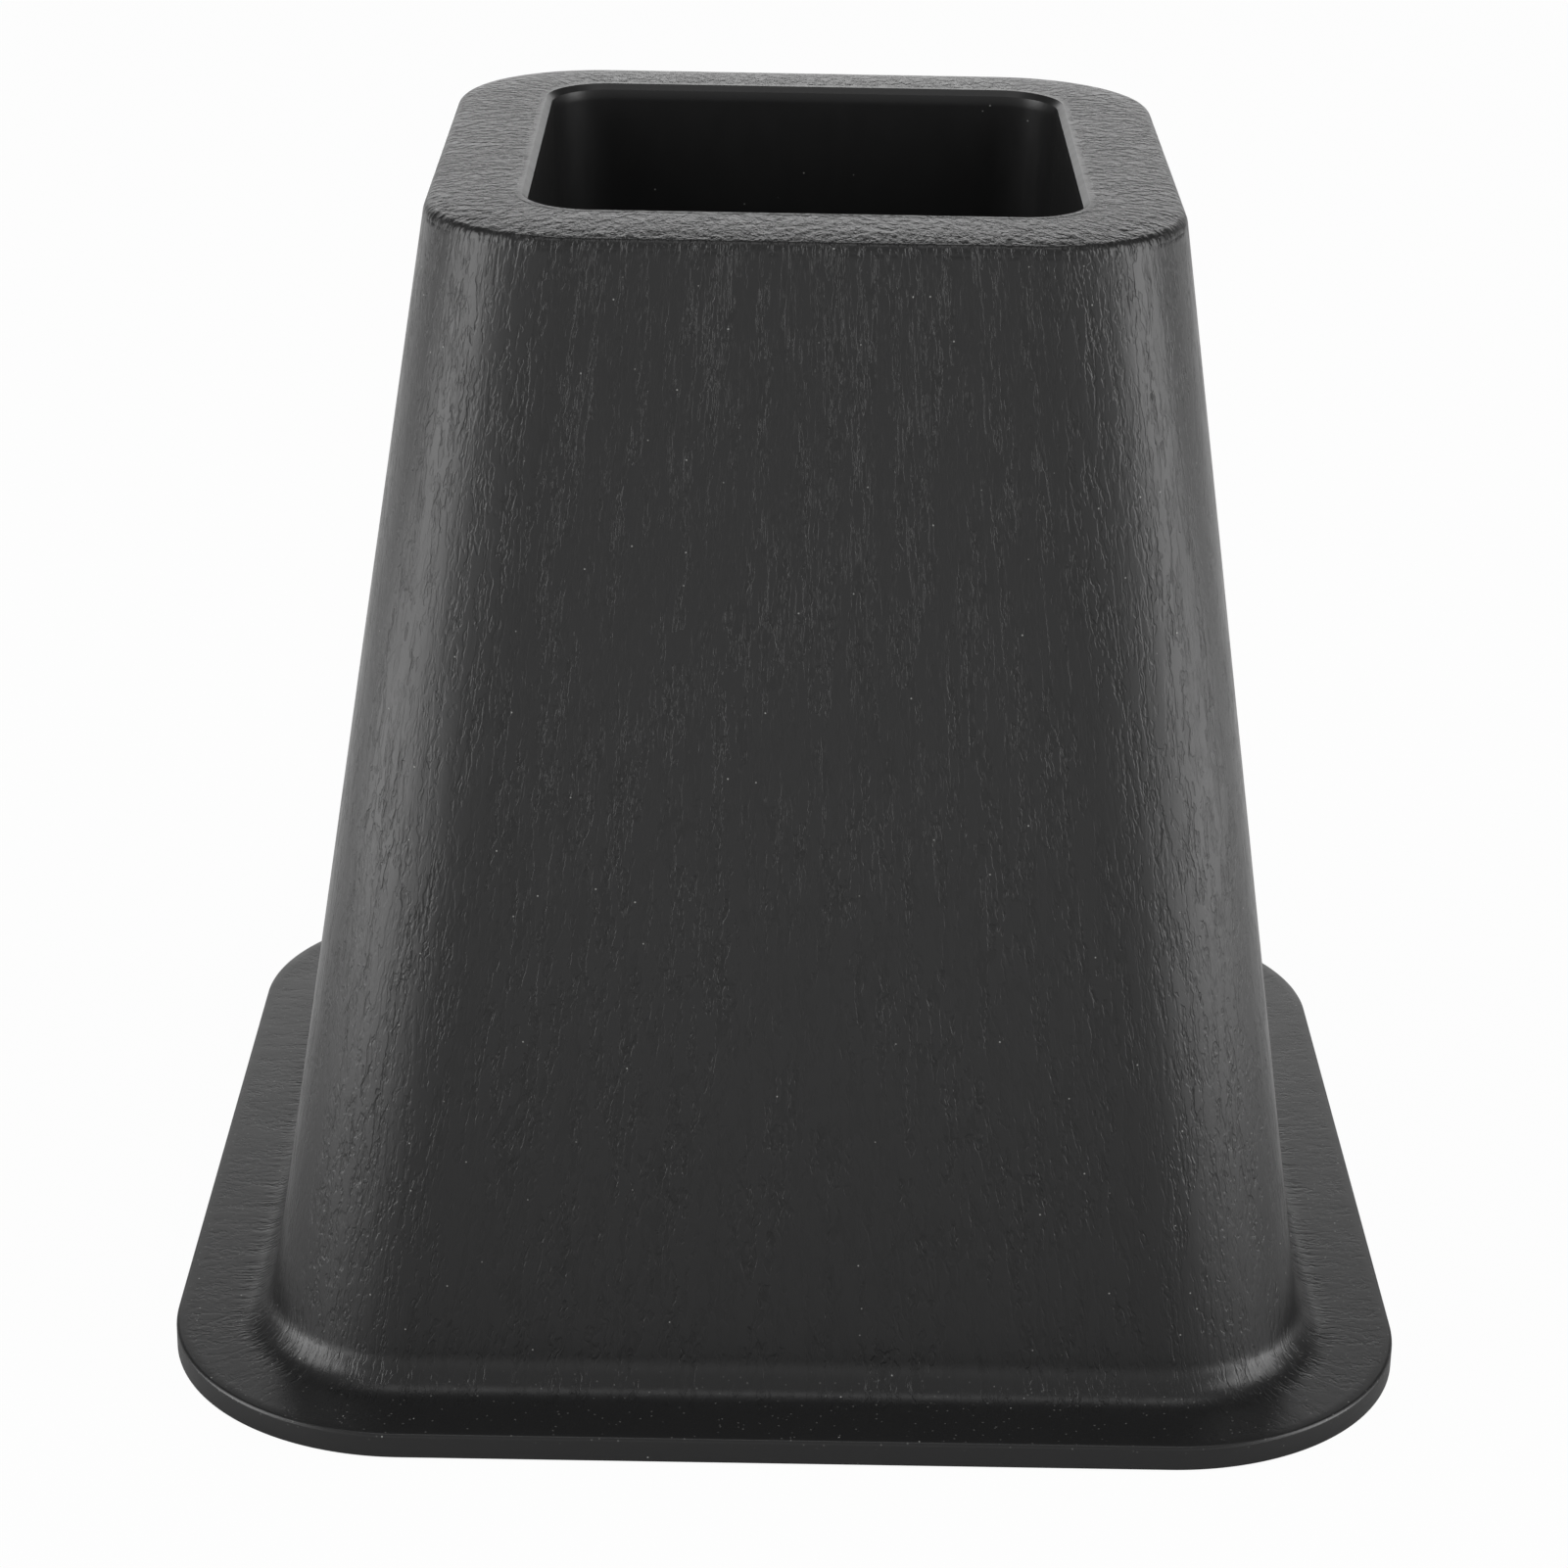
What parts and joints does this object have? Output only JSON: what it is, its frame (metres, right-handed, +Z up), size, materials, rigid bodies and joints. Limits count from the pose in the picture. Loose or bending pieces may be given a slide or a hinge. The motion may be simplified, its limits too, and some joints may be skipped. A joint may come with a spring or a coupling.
{
  "type": "bed riser",
  "caption": "Square tapered plastic riser with a floor flange, wood-grain walls and a square socket on top that takes the leg of a bed or sofa.",
  "frame": {"origin": "on the floor, at the centre of the flange", "axes": "+Z up through the socket, X and Y square to the four walls, front wall towards -Y"},
  "size_m": [0.164, 0.164, 0.152],
  "materials": {
    "black_plastic": "satin black moulding with a wood-grain texture on the walls, rim and flange"
  },
  "bodies": {
    "root": {"bed_riser": "black_plastic"}
  },
  "joints": []
}
